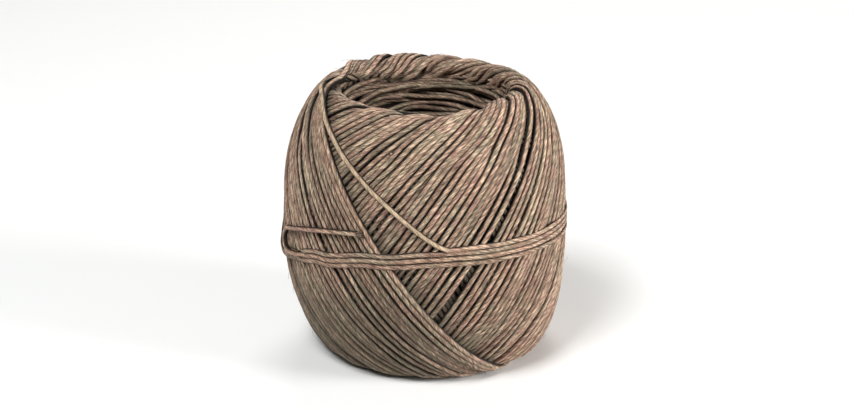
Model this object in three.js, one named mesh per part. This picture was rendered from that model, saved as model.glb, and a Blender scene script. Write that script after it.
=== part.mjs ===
// Ball of twine: a barrel-shaped ball wound round an open core, tied off at the waist.
// Millimetres, +Z up. Azimuth is in degrees from the front (-Y), positive towards +X.
import * as THREE from 'three';

// The twine
const STRAND_RADIUS = 0.8;
const STRAND_SIDES = 8;
const SOLID_GAP = 0.4;
const BRIDGE_PASSES = 8;

// The barrel outline about the ball's middle, a superellipse of revolution that leans a little
const BARREL_RADIUS = 44.5;
const BARREL_POLE = 52.5;
const BARREL_FULLNESS = 2.74;
const CREST_HEIGHT = 44.4;
const CREST_SOFTNESS = 0.8;
const LEAN_ABOVE = 0.7;
const LEAN_BELOW = 2.7;
const REST_DEPTH = 42.4;

// The winding: turns lie in planes tilted by TURN_TILT, each a little further round than the last
const TURN_TILT = 55.5;
const LAST_TURN = -103.5;
const NEWEST_LEVEL = 0.45;
const FALL_PER_ROUND = 2.2;
const BUNDLE_CROWN = 0.6;

// The mesh follows the turns: its lines are turns LINE_STEP apart, and its rows their crossings
const LINE_STEP = 6;
const LINE_COUNT = 360 / LINE_STEP;
const FIRST_LINE = LAST_TURN - LINE_STEP / 2;
const EDGE_PULL = 1.7;
const FIRST_BARREL_ROW = 8;
const LAST_BARREL_ROW = 52;

// The waist tie
const TIE_SECTIONS = 72;
const TIE_PITCH = 1.78;
const TIE_FOOT = 0.43;
const TIE_THICKNESS = 0.85;
const TIE_GROOVE = 0.4;
const TIE_CORNER = 0.1;
const HIDDEN_SHARE = 0.25;
const BRIDGE_REACH = 3;

// Valleys between the bundles of turns, by the azimuth of a turn's highest point
const valleys = [
  { azimuth: -150, depth: 0.5 },
  { azimuth: -131.2, depth: 0.7 },
  { azimuth: -83, depth: 0.3 },
  { azimuth: -59, depth: 0.5 },
  { azimuth: -35, depth: 0.3 },
  { azimuth: -11, depth: 0.5 },
  { azimuth: 13, depth: 0.3 },
  { azimuth: 37, depth: 0.5 },
  { azimuth: 61, depth: 0.4 },
  { azimuth: 85, depth: 0.4 },
  { azimuth: 109.3, depth: 1.2 },
  { azimuth: 121.5, depth: 0.9 },
  { azimuth: 145, depth: 0.4 },
  { azimuth: 169, depth: 0.5 },
  { azimuth: 190, depth: 0.4 },
];

// The rounded rim, from the barrel inwards; relief is the share of the winding's relief there
const rimRows = [
  { radius: 31.9, height: 43.6, relief: 1 },
  { radius: 31.1, height: 43.9, relief: 0.95 },
  { radius: 30.2, height: 44.1, relief: 0.9 },
  { radius: 29.3, height: 44.2, relief: 0.85 },
  { radius: 28.4, height: 44.15, relief: 0.8 },
  { radius: 27.4, height: 43.85, relief: 0.75 },
  { radius: 26.4, height: 43.2, relief: 0.7 },
  { radius: 25.4, height: 42.0, relief: 0.65 },
];

// The wall of the hollow core, from the rim to the middle
const coreRows = [
  { radius: 24.6, height: 40.0, relief: 0.5 },
  { radius: 23.8, height: 37.0, relief: 0.3 },
  { radius: 21.2, height: 31.0, relief: 0.2 },
  { radius: 17.6, height: 25.0, relief: 0 },
  { radius: 14.4, height: 18.5, relief: 0 },
  { radius: 13.1, height: 9.0, relief: 0 },
];
const CORE_RADIUS = 12.9;

// Height of the middle of the tie's three full strands above the ball's middle
const tieHeights = [
  { azimuth: -90, height: -8.4 },
  { azimuth: -75, height: -6.7 },
  { azimuth: -60, height: -4.4 },
  { azimuth: -45, height: -2.2 },
  { azimuth: -21, height: 0.9 },
  { azimuth: 0, height: 1.9 },
  { azimuth: 10, height: 2.1 },
  { azimuth: 32, height: 1.5 },
  { azimuth: 58, height: 1 },
  { azimuth: 90, height: 0.1 },
  { azimuth: 112, height: -1.5 },
  { azimuth: 135, height: -3.9 },
  { azimuth: 160, height: -6.2 },
  { azimuth: 182, height: -8 },
  { azimuth: 206, height: -9.2 },
  { azimuth: 230, height: -9.8 },
  { azimuth: 250, height: -9.5 },
];

// Strands of the tie, bottom to top: the azimuths between which each one shows, and how soon it does
const tieStrands = [
  { start: -180, end: 180, ramp: 0 },
  { start: -180, end: 180, ramp: 0 },
  { start: -56, end: 277, ramp: 5 },
  { start: 9, end: 277, ramp: 5 },
];

// The wrap that crosses over the tie at the left and holds the tail
const WRAP_AZIMUTH = -89;
const WRAP_WIDTH = 7;
const WRAP_RISE = 0.9;

// The lead turn, from the rim to the tie: lift is above the ball's surface
const leadRoute = [
  { azimuth: -82, latitude: 53.6, lift: 0.1 },
  { azimuth: -76, latitude: 52.9, lift: 0.2 },
  { azimuth: -67.7, latitude: 51.4, lift: 0.3 },
  { azimuth: -56, latitude: 47, lift: 0.1 },
  { azimuth: -46.3, latitude: 42.4, lift: 0 },
  { azimuth: -37.8, latitude: 37.6, lift: 0 },
  { azimuth: -30.6, latitude: 33.2, lift: 0 },
  { azimuth: -24.3, latitude: 29.1, lift: 0 },
  { azimuth: -18, latitude: 24.9, lift: 0 },
  { azimuth: -12, latitude: 20.7, lift: 0 },
  { azimuth: -6.2, latitude: 16.3, lift: 0 },
  { azimuth: -0.2, latitude: 12.1, lift: 0 },
  { azimuth: 4.2, latitude: 9.6, lift: 0.1 },
  { azimuth: 7.8, latitude: 8.4, lift: 0.2 },
];

// The tail, from where it leaves the tie to its free end: height is above the ball's middle
const tailRoute = [
  { azimuth: -55.5, height: -3.8, lift: 1.34 },
  { azimuth: -58, height: -4.1, lift: 1.34 },
  { azimuth: -61, height: -4.5, lift: 1.34 },
  { azimuth: -64.3, height: -4.8, lift: 1.34 },
  { azimuth: -67.6, height: -4.7, lift: 1.34 },
  { azimuth: -70.4, height: -4.1, lift: 1.18 },
  { azimuth: -72.2, height: -2.6, lift: 0.86 },
  { azimuth: -72.6, height: -0.9, lift: 0.54 },
  { azimuth: -71.4, height: 0.7, lift: 0.2 },
  { azimuth: -68.9, height: 1.8, lift: 0.1 },
  { azimuth: -65.6, height: 2.5, lift: 0 },
  { azimuth: -62, height: 3.3, lift: 0 },
  { azimuth: -57.5, height: 4.4, lift: 0 },
  { azimuth: -53, height: 5.4, lift: 0 },
  { azimuth: -48.5, height: 6.3, lift: 0 },
  { azimuth: -44, height: 7.1, lift: 0 },
  { azimuth: -39, height: 7.8, lift: 0 },
  { azimuth: -34, height: 8.4, lift: 0 },
  { azimuth: -30, height: 8.8, lift: 0 },
  { azimuth: -26.6, height: 9.1, lift: 0 },
];

const rad = THREE.MathUtils.degToRad;
const deg = THREE.MathUtils.radToDeg;

const sortedValleys = [...valleys]
  .map((valley) => ({ ...valley, azimuth: THREE.MathUtils.euclideanModulo(valley.azimuth, 360) }))
  .sort((first, second) => first.azimuth - second.azimuth);

function angleBetween(first, second) {
  return THREE.MathUtils.euclideanModulo(first - second + 180, 360) - 180;
}

function turnAge(line) {
  return THREE.MathUtils.euclideanModulo(LAST_TURN - line, 360);
}

// Radius and height of the barrel at a latitude, before any relief
function barrelOutline(latitude) {
  const across = Math.cos(rad(latitude)) / BARREL_RADIUS;
  const along = Math.abs(Math.sin(rad(latitude))) / BARREL_POLE;
  const reach = (across ** BARREL_FULLNESS + along ** BARREL_FULLNESS) ** (-1 / BARREL_FULLNESS);
  const rawHeight = reach * Math.abs(Math.sin(rad(latitude)));
  const below = (CREST_HEIGHT - rawHeight) / CREST_SOFTNESS;
  const height = CREST_HEIGHT - CREST_SOFTNESS * Math.log1p(Math.exp(below));
  return { radius: reach * Math.cos(rad(latitude)), height: Math.sign(latitude) * height };
}

function latitudeAt(crossing) {
  return deg(Math.atan(Math.tan(rad(TURN_TILT)) * Math.cos(rad(crossing))));
}

// Crown of a bundle at its middle, falling to the depth of the valley at each side
function bundleHeight(line) {
  const azimuth = THREE.MathUtils.euclideanModulo(line, 360);
  let next = sortedValleys.findIndex((valley) => valley.azimuth > azimuth);
  next = next < 0 ? 0 : next;
  const after = sortedValleys[next];
  const before = sortedValleys[(next + sortedValleys.length - 1) % sortedValleys.length];
  const width = THREE.MathUtils.euclideanModulo(after.azimuth - before.azimuth, 360);
  const share = THREE.MathUtils.euclideanModulo(azimuth - before.azimuth, 360) / width;
  const depth = share < 0.5 ? before.depth : after.depth;
  const bow = 4 * share * (1 - share);
  return BUNDLE_CROWN * bow - depth * (1 - bow) ** 3;
}

// Relief where two turns cross: the newer one lies on top
function windingRelief(falling, rising) {
  const newer = turnAge(falling) < turnAge(rising) ? falling : rising;
  const level = NEWEST_LEVEL - FALL_PER_ROUND * turnAge(newer) / 360;
  return level + bundleHeight(newer);
}

// Draws the mesh lines beside the last turn and the valleys onto them, so that they are crisp
function pulledLine(line) {
  const fromLast = angleBetween(line, LAST_TURN);
  if (Math.abs(fromLast) < LINE_STEP / 2 + 0.01) {
    return line - Math.sign(fromLast) * EDGE_PULL;
  }
  const near = valleys.find((valley) => Math.abs(angleBetween(valley.azimuth, line)) < LINE_STEP / 2);
  return near ? line + angleBetween(near.azimuth, line) : line;
}

function leanAt(height) {
  const share = height / CREST_HEIGHT;
  return (height < 0 ? LEAN_BELOW : LEAN_ABOVE) * share * share;
}

function placed(azimuth, radius, height) {
  return new THREE.Vector3(
    radius * Math.sin(rad(azimuth)) + leanAt(height),
    -radius * Math.cos(rad(azimuth)),
    height,
  );
}

// One closed row of the wound body for each half line step, from the core over the barrel and back
function bodyRows() {
  const topCore = coreRows.map((row, index) => ({ ...row, number: -1 - index })).reverse();
  const topRim = rimRows.map((row, index) => ({ ...row, number: FIRST_BARREL_ROW - 1 - index })).reverse();
  const barrel = [];
  for (let number = FIRST_BARREL_ROW; number <= LAST_BARREL_ROW; number += 1) {
    const outline = barrelOutline(latitudeAt(number * LINE_STEP / 2));
    barrel.push({ ...outline, relief: 1, number, onBarrel: true });
  }
  const lowRim = rimRows.map((row, index) => (
    { ...row, height: -row.height, number: LAST_BARREL_ROW + 1 + index }));
  const lowCore = coreRows.map((row, index) => (
    { ...row, height: -row.height, number: LAST_BARREL_ROW + 1 + rimRows.length + index }));
  const middle = {
    radius: CORE_RADIUS,
    height: 0,
    relief: 0,
    number: LAST_BARREL_ROW + 1 + rimRows.length + coreRows.length,
  };
  return [...topCore, ...topRim, ...barrel, ...lowRim, ...lowCore, middle];
}

function rowNormals(rows) {
  return rows.map((row, index) => {
    const before = rows[(index + rows.length - 1) % rows.length];
    const after = rows[(index + 1) % rows.length];
    const alongRadius = after.radius - before.radius;
    const alongHeight = after.height - before.height;
    const length = Math.hypot(alongRadius, alongHeight);
    return { radius: -alongHeight / length, height: alongRadius / length };
  });
}

function bodyPoint(row, normal, azimuth) {
  const crossing = THREE.MathUtils.clamp(row.number * LINE_STEP / 2, 0, 180);
  const inCore = row.number * LINE_STEP / 2 !== crossing;
  const falling = inCore ? azimuth + crossing : pulledLine(azimuth + crossing);
  const rising = inCore ? azimuth - crossing : pulledLine(azimuth - crossing);
  const relief = row.relief * windingRelief(falling, rising);
  const outline = row.onBarrel ? barrelOutline(latitudeAt((falling - rising) / 2)) : row;
  const radius = outline.radius + normal.radius * relief;
  const height = outline.height + normal.height * relief;
  return placed((falling + rising) / 2, radius, Math.max(height, -REST_DEPTH));
}

function bodyGeometry() {
  const rows = bodyRows();
  const normals = rowNormals(rows);
  const positions = [];
  rows.forEach((row, index) => {
    for (let column = 0; column < LINE_COUNT; column += 1) {
      const azimuth = FIRST_LINE + LINE_STEP * (column + row.number / 2);
      positions.push(...bodyPoint(row, normals[index], azimuth).toArray());
    }
  });
  const triangles = [];
  rows.forEach((row, index) => {
    const next = (index + 1) % rows.length;
    // Columns that the next row is ahead by, less the half step that sets the rows apart
    const ahead = (rows[next].number - row.number - 1) / 2;
    const at = (rowIndex, column) => rowIndex * LINE_COUNT
      + THREE.MathUtils.euclideanModulo(column, LINE_COUNT);
    for (let column = 0; column < LINE_COUNT; column += 1) {
      const below = column - ahead;
      triangles.push(at(index, column), at(next, below), at(index, column + 1));
      triangles.push(at(index, column + 1), at(next, below), at(next, below + 1));
    }
  });
  const geometry = new THREE.BufferGeometry();
  geometry.setAttribute('position', new THREE.Float32BufferAttribute(positions, 3));
  geometry.setIndex(triangles);
  geometry.computeVertexNormals();
  return geometry;
}

// Radius of the wound body at an azimuth and height, with its relief
function woundRadius(azimuth, height) {
  const latitude = deg(Math.atan2(height, BARREL_RADIUS));
  const slope = Math.tan(rad(latitude)) / Math.tan(rad(TURN_TILT));
  const crossing = deg(Math.acos(THREE.MathUtils.clamp(slope, -1, 1)));
  const relief = windingRelief(azimuth + crossing, azimuth - crossing);
  return barrelOutline(latitude).radius + relief;
}

// The highest that the wound body stands near a place, which a strand pulled tight bridges
function tightRadius(azimuth, height) {
  let highest = 0;
  for (let turn = -2; turn <= 2; turn += 1) {
    for (let shift = -1; shift <= 1; shift += 1) {
      highest = Math.max(highest, woundRadius(azimuth + turn * BRIDGE_REACH, height + shift));
    }
  }
  return highest;
}

function tieHeight(azimuth) {
  const turned = THREE.MathUtils.euclideanModulo(azimuth + 90, 360) - 90;
  const closed = [...tieHeights, { azimuth: 270, height: tieHeights[0].height }];
  const next = closed.findIndex((row) => row.azimuth > turned);
  const before = closed[next - 1];
  const after = closed[next];
  const share = (turned - before.azimuth) / (after.azimuth - before.azimuth);
  return THREE.MathUtils.lerp(before.height, after.height, share * share * (3 - 2 * share));
}

// How much of a strand shows in the tie at an azimuth, from 0 to 1
function strandShare(strand, azimuth) {
  if (strand.end - strand.start >= 360) {
    return 1;
  }
  const turned = THREE.MathUtils.euclideanModulo(azimuth - strand.start, 360);
  const span = strand.end - strand.start;
  const rise = THREE.MathUtils.smoothstep(turned, 0, strand.ramp);
  const fall = 1 - THREE.MathUtils.smoothstep(turned, span - strand.ramp, span);
  return rise * fall;
}

// Section of the tie: a ridge for each strand, then back along the ball
function tieSection(azimuth) {
  const middle = tieHeight(azimuth);
  const wrap = Math.exp(-((angleBetween(azimuth, WRAP_AZIMUTH) / WRAP_WIDTH) ** 2));
  const foot = tightRadius(azimuth, middle) + TIE_FOOT;
  const raised = foot + wrap * WRAP_RISE;
  const bottom = middle - 1.5 * TIE_PITCH - wrap * WRAP_RISE;
  const points = [];
  let edge = bottom;
  let groove = raised;
  tieStrands.forEach((strand) => {
    const share = Math.max(strandShare(strand, azimuth), HIDDEN_SHARE, wrap);
    const width = TIE_PITCH * share;
    const crown = raised + TIE_THICKNESS * share;
    groove = raised + TIE_GROOVE * share;
    points.push({ radius: groove, height: edge });
    points.push({ radius: crown, height: edge + width / 4 });
    points.push({ radius: crown, height: edge + width * 3 / 4 });
    edge += width;
  });
  points.push({ radius: groove, height: edge });
  points.push({ radius: foot, height: edge - TIE_CORNER });
  points.push({ radius: foot, height: bottom + TIE_CORNER });
  return points.map((point) => placed(azimuth, point.radius, point.height));
}

function tieGeometry() {
  const positions = [];
  let width = 0;
  for (let section = 0; section < TIE_SECTIONS; section += 1) {
    const points = tieSection(section * 360 / TIE_SECTIONS);
    width = points.length;
    points.forEach((point) => positions.push(...point.toArray()));
  }
  const triangles = [];
  for (let section = 0; section < TIE_SECTIONS; section += 1) {
    const here = section * width;
    const next = ((section + 1) % TIE_SECTIONS) * width;
    for (let point = 0; point < width; point += 1) {
      const above = (point + 1) % width;
      triangles.push(here + point, next + point, here + above);
      triangles.push(here + above, next + point, next + above);
    }
  }
  const geometry = new THREE.BufferGeometry();
  geometry.setAttribute('position', new THREE.Float32BufferAttribute(positions, 3));
  geometry.setIndex(triangles);
  geometry.computeVertexNormals();
  return geometry;
}

function strandGeometry(points, steps) {
  const section = new THREE.Shape();
  for (let side = 0; side < STRAND_SIDES; side += 1) {
    const turn = 2 * Math.PI * side / STRAND_SIDES;
    const corner = [STRAND_RADIUS * Math.cos(turn), STRAND_RADIUS * Math.sin(turn)];
    if (side === 0) {
      section.moveTo(...corner);
    } else {
      section.lineTo(...corner);
    }
  }
  section.closePath();
  const path = new THREE.CatmullRomCurve3(points);
  return new THREE.ExtrudeGeometry(section, { steps, bevelEnabled: false, extrudePath: path });
}

// Bridges the dips between points along a strand, as a tight strand does
function tightened(levels) {
  let bridged = levels;
  for (let pass = 0; pass < BRIDGE_PASSES; pass += 1) {
    const last = bridged;
    bridged = last.map((level, index) => {
      const before = last[Math.max(index - 1, 0)];
      const after = last[Math.min(index + 1, last.length - 1)];
      return Math.max(level, (before + after) / 2);
    });
  }
  return bridged;
}

function barrelNormal(latitude) {
  const before = barrelOutline(latitude - 0.5);
  const after = barrelOutline(latitude + 0.5);
  const alongRadius = after.radius - before.radius;
  const alongHeight = after.height - before.height;
  const length = Math.hypot(alongRadius, alongHeight);
  return { radius: alongHeight / length, height: -alongRadius / length };
}

// The lead turn's middle, on the ball with the gap that separate solids keep
function leadPoints() {
  const reliefs = leadRoute.map(({ azimuth, latitude }) => {
    const slope = Math.tan(rad(latitude)) / Math.tan(rad(TURN_TILT));
    const crossing = deg(Math.acos(THREE.MathUtils.clamp(slope, -1, 1)));
    const near = [-LINE_STEP, 0, LINE_STEP].map((shift) => (
      windingRelief(azimuth + shift + crossing, azimuth + shift - crossing)));
    return Math.max(...near);
  });
  const levels = tightened(reliefs);
  return leadRoute.map(({ azimuth, latitude, lift }, index) => {
    const outline = barrelOutline(latitude);
    const outwards = barrelNormal(latitude);
    const above = levels[index] + STRAND_RADIUS + SOLID_GAP + lift;
    return placed(azimuth, outline.radius + outwards.radius * above,
      outline.height + outwards.height * above);
  });
}

function tailPoints() {
  const levels = tightened(tailRoute.map(({ azimuth, height }) => tightRadius(azimuth, height)));
  return tailRoute.map(({ azimuth, height, lift }, index) => (
    placed(azimuth, levels[index] + STRAND_RADIUS + SOLID_GAP + lift, height)));
}

function twine(colour) {
  return new THREE.MeshStandardMaterial({ color: colour, roughness: 0.9, metalness: 0 });
}

function part(name, geometry, material) {
  const mesh = new THREE.Mesh(geometry, material);
  mesh.name = name;
  mesh.position.z = REST_DEPTH;
  return mesh;
}

const group = new THREE.Group();
const fixedParts = [
  part('wound_ball', bodyGeometry(), twine(0x86705c)),
  part('waist_tie', tieGeometry(), twine(0x8f7862)),
  part('lead_turn', strandGeometry(leadPoints(), 40), twine(0x9a8168)),
];
group.add(...fixedParts);

// The origin is under the middle of the ball's own reach
const reach = new THREE.Box3().setFromObject(group);
const middle = reach.getCenter(new THREE.Vector3());
group.add(part('tail', strandGeometry(tailPoints(), 40), twine(0x8a745e)));
group.position.set(-middle.x, -middle.y, 0);

export default group;
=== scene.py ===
"""Ball of twine: every strand of the wound ball, its waist tie, lead turn and free tail.

Lengths inside the classes are millimetres about the ball's middle and are made metres when a mesh
is built. Azimuth is in degrees from the front (-Y), positive towards +X.
"""

from __future__ import annotations

import sys
import logging
import math
from dataclasses import dataclass, field
from enum import Enum

import bpy
import numpy as np
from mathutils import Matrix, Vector


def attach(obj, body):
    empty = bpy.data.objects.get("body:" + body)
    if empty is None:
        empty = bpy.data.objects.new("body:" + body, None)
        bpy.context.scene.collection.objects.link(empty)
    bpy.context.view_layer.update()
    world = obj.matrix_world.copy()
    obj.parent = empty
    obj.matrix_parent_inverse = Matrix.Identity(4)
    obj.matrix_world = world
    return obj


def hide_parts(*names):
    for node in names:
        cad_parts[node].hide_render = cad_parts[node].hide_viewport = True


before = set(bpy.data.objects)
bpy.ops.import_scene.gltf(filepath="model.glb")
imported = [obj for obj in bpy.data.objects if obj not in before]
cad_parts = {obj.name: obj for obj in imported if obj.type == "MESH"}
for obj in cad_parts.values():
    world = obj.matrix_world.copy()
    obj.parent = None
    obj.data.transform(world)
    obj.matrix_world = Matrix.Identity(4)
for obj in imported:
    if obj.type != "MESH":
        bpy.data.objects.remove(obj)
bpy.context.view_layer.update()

LOG = logging.getLogger("ball_of_twine")
METRES = 0.001
WHOLE_TURN = 2 * math.pi
# Share of its limit below which a turn has sunk under its neighbours
SUNK = 0.78
TINY = 1e-6


class Slot(Enum):
    """Names of the twine materials."""

    WOUND = "wound_twine"
    TIE = "tie_twine"
    LEAD = "lead_twine"


def linked(name: str, data: bpy.types.ID) -> bpy.types.Object:
    """Makes an object at the origin and links it to the scene."""
    made = bpy.data.objects.new(name, data)
    bpy.context.scene.collection.objects.link(made)
    return made


# ---------------------------------------------------------------- shader nodes


def add_node(tree: bpy.types.NodeTree, kind: str, settings: dict,
             inputs: dict) -> bpy.types.Node:
    """Adds a node to a tree.

    Args:
        tree: the tree.
        kind: the node's type.
        settings: its own properties, set first.
        inputs: values or links by socket name or number.

    Returns:
        The node.
    """
    made = tree.nodes.new(kind)
    for key, setting in settings.items():
        setattr(made, key, setting)
    for key, given in inputs.items():
        source = given.socket if isinstance(given, Value) else given
        if isinstance(source, bpy.types.NodeSocket):
            tree.links.new(source, made.inputs[key])
        else:
            made.inputs[key].default_value = source
    return made


class Value:
    """A shader socket that takes part in Python arithmetic."""

    def __init__(self, shader: "ShaderTree", socket: bpy.types.NodeSocket) -> None:
        """Wraps an output socket of a tree."""
        self.shader = shader
        self.socket = socket

    def __add__(self, other: "Value | float") -> "Value":
        """Sum."""
        return self.shader.maths("ADD", self, other)

    __radd__ = __add__

    def __mul__(self, other: "Value | float") -> "Value":
        """Product."""
        return self.shader.maths("MULTIPLY", self, other)

    __rmul__ = __mul__

    def __sub__(self, other: "Value | float") -> "Value":
        """Difference."""
        return self.shader.maths("SUBTRACT", self, other)

    def __rsub__(self, other: float) -> "Value":
        """Difference from a number."""
        return self.shader.maths("SUBTRACT", other, self)

    def between(self, low: float, high: float) -> "Value":
        """How far the value is from low to high, smoothly, from 0 to 1."""
        return self.shader.node(
            "ShaderNodeMapRange",
            {"interpolation_type": "SMOOTHSTEP"},
            {"Value": self, "From Min": low, "From Max": high},
        )


class ShaderTree:
    """Builds a material's nodes."""

    def __init__(self, name: str) -> None:
        """Starts an empty material with a name."""
        self.material = bpy.data.materials.new(name)
        self.material.use_nodes = True
        self.tree = self.material.node_tree
        self.tree.nodes.clear()

    def node(self, kind: str, settings: dict, inputs: dict, output: int | str = 0) -> Value:
        """Adds a node and gives one of its outputs."""
        return Value(self, add_node(self.tree, kind, settings, inputs).outputs[output])

    def maths(self, operation: str, *values: Value | float) -> Value:
        """Adds a Math node on one to three values."""
        return self.node("ShaderNodeMath", {"operation": operation}, dict(enumerate(values)))

    def vector(self, x: Value | float, y: Value | float, z: Value | float) -> Value:
        """Joins three numbers."""
        return self.node("ShaderNodeCombineXYZ", {}, {0: x, 1: y, 2: z})

    def attribute(self, name: str, output: str = "Fac") -> Value:
        """Reads an attribute of the mesh."""
        return self.node("ShaderNodeAttribute", {"attribute_name": name}, {}, output)

    def noise(self, place: Value, scale: float, detail: float, roughness: float = 0.55) -> Value:
        """Noise between about 0.3 and 0.7 at a place."""
        return self.node(
            "ShaderNodeTexNoise",
            {"noise_dimensions": "3D"},
            {"Vector": place, "Scale": scale, "Detail": detail, "Roughness": roughness},
        )

    def mix(self, share: Value | float, first: Value | tuple, second: Value | tuple,
            blend: str = "MIX") -> Value:
        """Mixes two colours.

        Args:
            share: how much of the second colour shows.
            first: a colour or a link.
            second: a colour or a link.
            blend: the Mix node's blend type.

        Returns:
            The mixed colour.
        """
        inputs = {place: (*given, 1.0) if isinstance(given, tuple) else given
                  for place, given in ((0, share), (6, first), (7, second))}
        return self.node(
            "ShaderNodeMix", {"data_type": "RGBA", "blend_type": blend}, inputs, 2)

    def surface(self, inputs: dict) -> bpy.types.Material:
        """Ends the tree in one Principled shader.

        Args:
            inputs: numbers set on the shader's own sockets, and links for what changes over
                the surface.

        Returns:
            The material.
        """
        shader = self.node("ShaderNodeBsdfPrincipled", {}, inputs)
        add_node(self.tree, "ShaderNodeOutputMaterial", {}, {0: shader})
        return self.material


# ---------------------------------------------------------------- finishes


@dataclass(frozen=True)
class TwineFinish:
    """Soft single-yarn twine: helical fibre streaks, strand-to-strand tints and painted shade in
    the creases between strands.
    """

    name: str
    pale: tuple[float, float, float] = (0.70, 0.505, 0.360)
    middle: tuple[float, float, float] = (0.262, 0.160, 0.110)
    dark: tuple[float, float, float] = (0.050, 0.026, 0.022)
    grey: tuple[float, float, float] = (0.205, 0.182, 0.122)
    rosy: tuple[float, float, float] = (0.305, 0.160, 0.128)
    lay_length: float = 17.0
    # Streaks: scale across and along the lay, shift by tint, then noise scale and detail
    fibres: tuple = (0.85, 0.13, 97, 2.6, 4.0)
    hairs: tuple = (1.3, 0.42, 53, 3.4, 3.0)
    streak_roughness: float = 0.6
    # Blotches: scale along the strand, shift by tint, depth and detail
    patches: tuple = (0.07, 41, 0.5, 3.0)
    hues: tuple = (0.16, 71, 7.5, 2.0)
    # Where a colour starts and is full in its noise, and how much of it shows
    grey_patches: tuple = (0.42, 0.60, 0.75)
    rosy_hues: tuple = (0.50, 0.64, 0.65)
    dark_fibres: tuple = (0.48, 0.34, 0.85)
    pale_fibres: tuple = (0.50, 0.63, 0.85)
    pale_hairs: tuple = (0.56, 0.68, 0.5)
    dark_hairs: tuple = (0.44, 0.32, 0.5)
    # Least brightness and its range, by the strand's tint and by its patches
    tint_brightness: tuple = (0.76, 0.50)
    patch_brightness: tuple = (0.74, 0.52)
    # Painted shade: brightness left in the crease between strands that lie loose and that are
    # pressed
    crease_shade: float = 0.03
    pressed_crease_shade: float = 0.45
    crease_shade_reach: tuple = (0.36, 1.0)
    # Painted shade: the shade at which the grey tint of shaded places starts and is full, and how
    # far it goes
    painted_shade_greying: tuple = (0.92, 0.60, 0.45)
    fibre_relief: float = 0.75
    bump: float = 0.8
    bump_metres: float = 0.00035
    roughness: float = 0.82
    fibre_gloss: float = 0.35

    def streaks(self, tree: ShaderTree, place: tuple, noise: tuple) -> Value:
        """Noise drawn out along the twisted fibres.

        Args:
            tree: the material's tree.
            place: values across, through and along the strand, and its tint.
            noise: the streaks' scales, shift and detail.

        Returns:
            The noise.
        """
        across, through, run, tint = place
        wide, along, shift, scale, detail = noise
        point = tree.vector(across * wide, through * wide, run * along + tint * shift)
        return tree.noise(point, scale, detail, self.streak_roughness)

    def material(self) -> bpy.types.Material:
        """Builds the material.

        Returns:
            The material, which reads the strand attributes around, along, tint and shade.
        """
        tree = ShaderTree(self.name)
        outward = tree.node(
            "ShaderNodeSeparateXYZ", {}, {0: tree.attribute("around", "Vector")}, 0)
        around = Value(tree, outward.socket.node.outputs[1])
        along = tree.attribute("along")
        tint = tree.attribute("tint")
        shade = tree.attribute("shade")
        turn = along * (WHOLE_TURN / (self.lay_length * METRES))
        cosine = tree.maths("COSINE", turn)
        sine = tree.maths("SINE", turn)
        run = along * (1 / METRES)
        place = (around * cosine - outward * sine, around * sine + outward * cosine, run, tint)
        fibres = self.streaks(tree, place, self.fibres)
        hairs = self.streaks(tree, place, self.hairs)
        patches, hues = (
            tree.noise(tree.vector(run * step, tint * shift, depth), 1.0, detail)
            for step, shift, depth, detail in (self.patches, self.hues))
        colour = self.middle
        for noise, (start, full, share), other in (
                (patches, self.grey_patches, self.grey), (hues, self.rosy_hues, self.rosy),
                (fibres, self.dark_fibres, self.dark), (fibres, self.pale_fibres, self.pale),
                (hairs, self.pale_hairs, self.pale), (hairs, self.dark_hairs, self.dark)):
            colour = tree.mix(noise.between(start, full) * share, colour, other)
        least, more = self.tint_brightness
        low, high = self.patch_brightness
        # The shade attribute is painted shade, multiplied into the brightness with the strand's
        # own tints and patches
        bright = (least + tint * more) * (low + patches * high) * shade
        # Painted shade: darker towards each strand's sides, in the creases between strands, less
        # where strands are pressed together
        floor = tree.attribute("pressed") * (self.pressed_crease_shade - self.crease_shade) + self.crease_shade
        crease_shade = outward.between(*self.crease_shade_reach) * (1 - floor) + floor
        # Painted shade: places darkened by the shade attribute are also tinted towards grey
        start, full, share = self.painted_shade_greying
        colour = tree.mix(shade.between(start, full) * share, colour, self.grey)
        gain = bright * crease_shade
        colour = tree.mix(1.0, colour, tree.vector(gain, gain, gain), "MULTIPLY")
        relief = fibres * self.fibre_relief + hairs * (1 - self.fibre_relief)
        bumped = tree.node("ShaderNodeBump", {}, {
            "Strength": self.bump, "Distance": self.bump_metres, "Height": relief})
        return tree.surface({
            "Specular IOR Level": 0.22,
            "Sheen Weight": 0.03,
            "Sheen Roughness": 0.45,
            "Sheen Tint": (0.95, 0.86, 0.76, 1.0),
            "Base Color": colour,
            "Roughness": self.roughness - fibres * self.fibre_gloss,
            "Normal": bumped,
        })


@dataclass(frozen=True)
class GrainedFinish:
    """A dull finish of two near colours in fine grains."""

    name: str
    low: tuple[float, float, float]
    high: tuple[float, float, float]
    scale: float
    detail: float
    roughness: float

    def material(self) -> bpy.types.Material:
        """Builds the material.

        Returns:
            The material.
        """
        tree = ShaderTree(self.name)
        place = tree.node("ShaderNodeTexCoord", {}, {}, "Object")
        grain = tree.noise(place, self.scale, self.detail)
        return tree.surface({
            "Roughness": self.roughness,
            "Specular IOR Level": 0.1,
            "Base Color": tree.mix(grain, self.low, self.high),
        })


# The tie and the tail, the lead turn's paler stretch, the wound ball, its heart painted dark as
# shade, the floor
TIE_FINISH = TwineFinish("tie_twine")
LEAD_FINISH = TwineFinish(
    "lead_twine", pale=(0.68, 0.53, 0.37), middle=(0.42, 0.29, 0.185),
    grey=(0.34, 0.27, 0.18), rosy=(0.44, 0.29, 0.20))
WOUND_FINISH = TwineFinish("wound_twine")
# Painted shade: the heart is near black, standing in for the shade deep between the turns
HEART_SHADE_FINISH = GrainedFinish(
    "heart_in_painted_shade", (0.018, 0.012, 0.009), (0.05, 0.034, 0.025), 900.0, 3.0, 0.95)
FLOOR_FINISH = GrainedFinish(
    "pale_floor", (0.81755, 0.81755, 0.81755), (0.83, 0.83, 0.83), 30.0, 2.0, 0.9)


# ---------------------------------------------------------------- the strand sweep


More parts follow.
